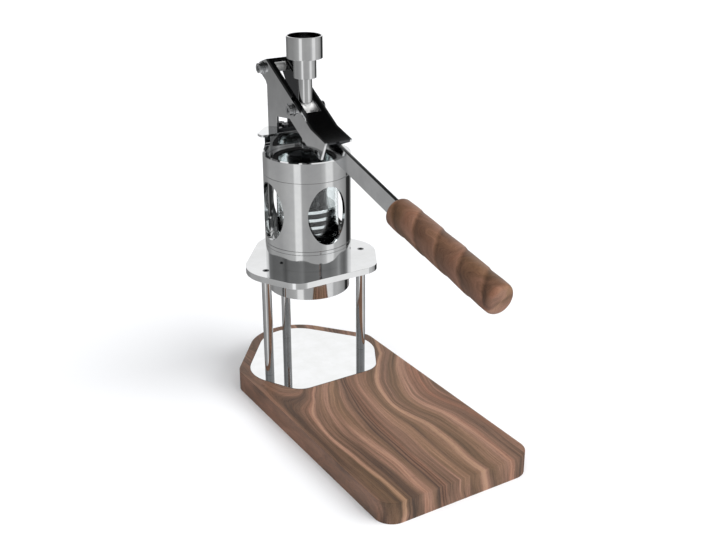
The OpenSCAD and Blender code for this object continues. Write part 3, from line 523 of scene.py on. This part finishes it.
# %% [markdown]
# ### Lever and bracket
# The lever's channel and the bracket are folded from 2.5 mm sheet, and the bar is flat stock. A
# guillotine leaves a sharp edge that is filed off before folding, so these get a wider bevel.

# %% Channel, bar and bracket
for node, finish, width in (("lever_channel", channel_steel, 0.35), ("lever_bar", bar_steel, 0.35),
                            ("fulcrum_bracket", bracket_steel, 0.3)):
    print(eased(node, finish, width).name, "in", finish.name)

# %% [markdown]
# ### Brewing group
# Collar, holder, shell, crown and the ring that holds the glass are turned from bar and tube. The
# shell's turned lines are only 0.7 mm wide, so its edges are eased the least.

# %% Collar, holder, shell and crown
for node, width in (("group_collar", 0.15), ("holder_ring", 0.4), ("shell", 0.12),
                    ("crown_ring", 0.3), ("cap_ring", 0.2)):
    piece = eased(node, turned, width)
    print(piece.name, "has", len(piece.data.polygons), "faces")

# %% [markdown]
# ### Rods, legs and small parts
# What is left differs only in its finish and in how much of its edge was taken off, so one table
# lists both. Screws, seals, screen, basket, valve and glass keep the frame's own mesh and only get
# a finish.

# %% Table of the other pieces
for node, finish, width in [
        ("filling_cup", cup_steel, 0.25), ("upper_rod", drawn, 0.1), ("lower_rod", drawn, 0.1),
        ("leg_left", drawn, 0.2), ("leg_right", drawn, 0.2), ("leg_rear", drawn, 0.2),
        ("crosshead", white_acetal, 0.25), ("crosshead_bolts", satin, 0.3),
        ("crosshead_washers", satin, 0.15), ("fulcrum_pin", satin, 0.3),
        ("fulcrum_washers", satin, 0.15), ("fulcrum_nut", satin, 0.3),
        ("fulcrum_spacer", white_acetal, 0.3), ("rod_sleeve", black_acetal, 0.6),
        ("piston", turned, 0.2)]:
    eased(node, finish, width)

for node, finish in {
        "lower_leg_screws": blackened, "upper_leg_screws": blackened, "collar_screws": blackened,
        "bracket_screws": blackened, "shower_screen": satin, "filter_basket": satin,
        "valve_ball": satin, "ball_retainer": satin, "group_gasket": nitrile,
        "glass_seals": nitrile, "piston_seals": nitrile, "glass_cylinder": clear_glass}.items():
    mesh = frame["nodes"][node].data
    mesh.materials.clear()
    mesh.materials.append(finish)

# %% [markdown]
# ### Wooden grip
# The grip is a turned bar with two soft flutes that wind along it. It starts as a cylinder. Its
# near end is broken by 2.4 mm and its far end rounded by 4.6 mm with bevels, its long edges are cut
# into short pieces, and both end faces are inset so that they shade as flats. Subdivide makes at
# most a hundred cuts at once, so it runs twice. A flute that winds can't be drawn with whole rings,
# so each point is then moved along its own radius.

# %% Flutes
GRIP_R, FLUTE = 14.2, 0.75                    # radius and depth in mm
RISING, FALL_POWER, SUNK = 0.16, 1.4, 0.12    # shares of a flute's width and depth
WAVE, WAVE_STEP = 0.12, 9.0                   # height of the sander's waves, mm along per radian
NEAR_FADE, FAR_FADE = 10, 12                  # mm over which the flutes run out
END_ROUNDS = ((-1, 2.4, 6), (1, 4.6, 8))      # end, radius in mm, steps
END_INSET = 4.5
LONG_CUTS = (9, 16)                           # ten pieces, then seventeen in each of them


def flute(along, angle):
    """Rise of the surface: a soft saw-tooth that winds along the grip with two starts."""
    q = (angle / math.pi - along / FLUTE_PITCH) % 1.0
    up = min(q / RISING, 1.0)
    return FLUTE * (up * up * (3 - 2 * up) - q ** FALL_POWER - SUNK)


print("flute at its top:", round(max(flute(0, k / 50) for k in range(157)), 2), "mm")

# %% [markdown]
# The cylinder is made upright at the origin and is laid into the grip's frame at the end: its
# height becomes the grip's length, and its x axis the grip's up.

# %% Grip
UPRIGHT_TO_GRIP = Matrix(((0, 0, 1, 0), (1, 0, 0, 0), (0, 1, 0, 0), (0, 0, 0, 1)))


def grip():
    bpy.ops.object.select_all(action="DESELECT")
    bpy.ops.mesh.primitive_cylinder_add(vertices=128, radius=GRIP_R * MM, depth=GRIP_LEN * MM,
                                        location=(0, 0, 0), end_fill_type="NGON")
    piece = bpy.context.active_object
    piece.name = piece.data.name = "handle_grip_wood"
    bpy.ops.object.mode_set(mode="EDIT")
    bpy.ops.mesh.select_mode(type="EDGE")
    for end, width, steps in END_ROUNDS:
        bpy.ops.mesh.select_all(action="SELECT")
        keep_edges(piece, lambda p, q: min(p.z * end, q.z * end) > GRIP_LEN / 2 - 0.1)
        bpy.ops.mesh.bevel(offset=width * MM, offset_type="OFFSET", segments=steps, profile=0.5,
                           affect="EDGES")
    length = GRIP_LEN
    for cuts in LONG_CUTS:
        bpy.ops.mesh.select_all(action="SELECT")
        keep_edges(piece, lambda p, q: abs(p.z - q.z) > length / 2)
        bpy.ops.mesh.subdivide(number_cuts=cuts)
        length /= cuts + 1
    bpy.ops.mesh.select_mode(type="FACE")
    bpy.ops.mesh.select_all(action="DESELECT")
    bpy.ops.object.mode_set(mode="OBJECT")
    for face in piece.data.polygons:
        face.select = abs(face.normal.z) > 0.999
    bpy.ops.object.mode_set(mode="EDIT")
    bpy.ops.mesh.inset(thickness=END_INSET * MM)
    bpy.ops.object.mode_set(mode="OBJECT")
    flat = GRIP_R - END_ROUNDS[1][1] - 1
    for v in piece.data.vertices:
        x, y, z = v.co * 1000
        reach, along, angle = math.hypot(x, y), z + GRIP_LEN / 2, math.atan2(y, x)
        if reach > flat:
            fade = min(1.0, along / NEAR_FADE, (GRIP_LEN - along) / FAR_FADE)
            rise = flute(along, angle) * fade + WAVE * math.sin(3 * angle + along / WAVE_STEP)
            v.co.x *= 1 + rise / reach
            v.co.y *= 1 + rise / reach
        v.co.z = along * MM
    place = to_grip @ UPRIGHT_TO_GRIP
    place.translation = to_grip.translation * MM
    piece.matrix_world = place
    bpy.ops.object.transform_apply(location=True, rotation=True, scale=True)
    bpy.ops.object.shade_smooth_by_angle(angle=math.radians(60))
    stand_for(piece, "handle_grip", grip_walnut)
    low = [min(v.co[i] for v in piece.data.vertices) * 1000 for i in range(3)]
    print("grip:", len(piece.data.polygons), "faces, lowest corner", [round(v, 1) for v in low])


grip()

# %% [markdown]
# ## Floor
# The press stands on white paper. The floor only has to be white and to keep a soft shadow, so it
# is a big plane of matt paint. Mirrors don't see it: they see the studio that the world draws.

# %% Floor
def paper_floor():
    bpy.ops.object.select_all(action="DESELECT")
    bpy.ops.mesh.primitive_plane_add(size=18, location=(0, 0, 0))
    floor = bpy.context.active_object
    floor.name = floor.data.name = "floor"
    m, t, at = new_material("white_paper")
    paint = add(t, "BsdfPrincipled", {"Base Color": linear("f4f5f7"), "Roughness": 0.9,
                                      "Specular IOR Level": 0.0})
    add(t, "OutputMaterial", {"Surface": paint})
    floor.data.materials.append(m)
    floor.visible_glossy = False
    return floor


print("floor is", round(paper_floor().dimensions.x), "m wide")

# %% [markdown]
# ## Studio
# Polished steel shows its surroundings, so the surroundings do most of the work here. An area lamp
# for each reflection would be hard to place, so the world itself is a studio in grey cards: pale
# and dark strips stand round the object below the horizon, white cards behind it and dark ones on
# the viewer's side above it, and the ceiling is black. Each strip is a direction in degrees, where
# 0 is the viewer's side and 180 is behind the object, with its brightness.

# %% Strips of the studio
LOW_STRIPS = [(-180, .36), (-150, .26), (-128, .30), (-112, .42), (-75, .42), (-45, .56),
              (-33, .60), (-30, .98), (-15, .98), (-11, .47), (5, .43), (38, .46), (50, .62),
              (55, .92), (72, .92), (77, .56), (90, .56), (108, .42), (124, .32), (128, .03),
              (152, .03), (158, .30), (180, .36)]
HIGH_STRIPS = [(-180, .96), (-150, .96), (-139, .85), (-128, .24), (-108, .17), (-75, .19),
               (-62, .12), (-52, .20), (-25, .22), (-14, .27), (-6, .19), (18, .20), (40, .25),
               (62, .22), (82, .30), (92, .44), (101, .26), (115, .18), (127, .30), (140, .85),
               (150, .96), (180, .96)]
VIEW_TURN = 121.7 / 360            # heading of the view, as a share of a full turn
CEILING = (.025, .025, .025, 1)
CARD_GAIN = (1.16, 1.16, 1.16, 1)
WHITE = (1, 1, 1, 1)


def strips(t, where, pairs):
    return add(t, "ValToRGB", (where,), stops=[((a + 180) / 360, (v, v, v, 1)) for a, v in pairs])


def studio():
    world = bpy.data.worlds.new("studio")
    scene.world = world
    world.use_nodes = True
    t = world.node_tree
    t.nodes.clear()
    way = add(t, "TexCoord", out="Generated")
    x, y, z = add(t, "SeparateXYZ", (way,), out="all")
    angle = add(t, "Math", (y, x), operation="ARCTAN2")
    where = add(t, "Math", (angle, 1 / (2 * math.pi), 0.5 + VIEW_TURN), operation="MULTIPLY_ADD")
    where = add(t, "Math", (where,), operation="FRACT")
    mix = {"data_type": "RGBA"}
    low = strips(t, where, LOW_STRIPS)
    # on the left the cards are darker just under the horizon and again far below it
    left = add(t, "ValToRGB", (where,), stops=[(0.0, WHITE), (0.38, WHITE),
                                               (0.43, (0, 0, 0, 1)), (1.0, (0, 0, 0, 1))])
    down = add(t, "Math", (z, -1.0), operation="MULTIPLY")
    fall = add(t, "ValToRGB", (down,), stops=[(p, (v, v, v, 1)) for p, v in (
        (0.15, .70), (0.22, .74), (0.29, 1.0), (0.37, 1.0), (0.44, .75))])
    fall = add(t, "Mix", {0: left, 6: WHITE, 7: fall}, 2, **mix)
    low = add(t, "Mix", {0: 1.0, 6: low, 7: fall}, 2, blend_type="MULTIPLY", **mix)
    floor = add(t, "MapRange", (z, -0.56, -0.74, 0.0, 1.0))
    low = add(t, "Mix", {0: floor, 6: low, 7: WHITE}, 2, **mix)
    side = strips(t, where, HIGH_STRIPS)
    height = add(t, "ValToRGB", (z,), stops=[(p, (v, v, v, 1)) for p, v in (
        (0.0, .95), (0.30, .92), (0.38, .84), (0.43, .98), (0.47, 1.0))])
    side = add(t, "Mix", {0: 1.0, 6: side, 7: height}, 2, blend_type="MULTIPLY", **mix)
    side = add(t, "Mix", {0: 1.0, 6: side, 7: CARD_GAIN}, 2, blend_type="MULTIPLY",
               **mix)
    over = add(t, "MapRange", (z, 0.54, 0.66, 0.0, 1.0))
    up = add(t, "Mix", {0: over, 6: side, 7: CEILING}, 2, **mix)
    edge = add(t, "MapRange", (z, -0.10, 0.03, 0.0, 1.0))
    sky = add(t, "Mix", {0: edge, 6: low, 7: up}, 2, **mix)
    glow = add(t, "Background", {"Color": sky, "Strength": 1.0})
    add(t, "OutputWorld", {"Surface": glow})
    print("studio:", len(LOW_STRIPS), "low strips,", len(HIGH_STRIPS), "high strips")


studio()

# %% [markdown]
# ## Lamps
# Two far soft lamps light the wood and the floor. The key comes from the front right and throws the
# pale shadow to the left. The other comes from above and fills it. Mirrors don't see them, so that
# no round highlight is drawn on the steel.

# %% Key and fill
def lamp(name, toward, spread, energy):
    """Far soft light that comes from the direction `toward`."""
    light = bpy.data.lights.new(name, "SUN")
    light.angle = math.radians(spread)
    light.energy = energy
    o = bpy.data.objects.new(name, light)
    scene.collection.objects.link(o)
    o.location = Vector(toward) * 2
    o.rotation_euler = (-Vector(toward)).to_track_quat("-Z", "Y").to_euler()
    o.visible_glossy = False
    print(name, "spreads over", spread, "degrees")


lamp("key", (0.55, -0.62, 0.85), 50, 2.5)
lamp("top", (-0.40, -0.30, 1.0), 80, 1.75)

# %% [markdown]
# ## Camera
# The viewer stands 31.7 degrees to the left of the lever and looks 23 degrees down, with a lens
# that covers 38 degrees. These numbers came from the edges of the board and the plates.

# %% Camera
EYE = (-0.4924, -0.8968, 0.5592)                   # in metres
VIEW_DOWN, VIEW_LEFT, FIELD = 23.0, 31.71, 38.04   # in degrees


def camera():
    cam = bpy.data.cameras.new("camera")
    cam.sensor_width = 36
    cam.sensor_fit = "HORIZONTAL"
    cam.lens = cam.sensor_width / 2 / math.tan(math.radians(FIELD / 2))
    cam.clip_start, cam.clip_end = 0.01, 50
    o = bpy.data.objects.new("camera", cam)
    scene.collection.objects.link(o)
    o.location = EYE
    o.rotation_euler = (math.radians(90 - VIEW_DOWN), 0, math.radians(-VIEW_LEFT))
    scene.camera = o
    print("lens", round(cam.lens, 1), "mm")


camera()
scene.view_settings.view_transform = "Standard"

# %% [markdown]
# ## Last update
# The view layer is updated once more, so that every dressed piece stands in its place.

# %% Update the view layer
bpy.context.view_layer.update()
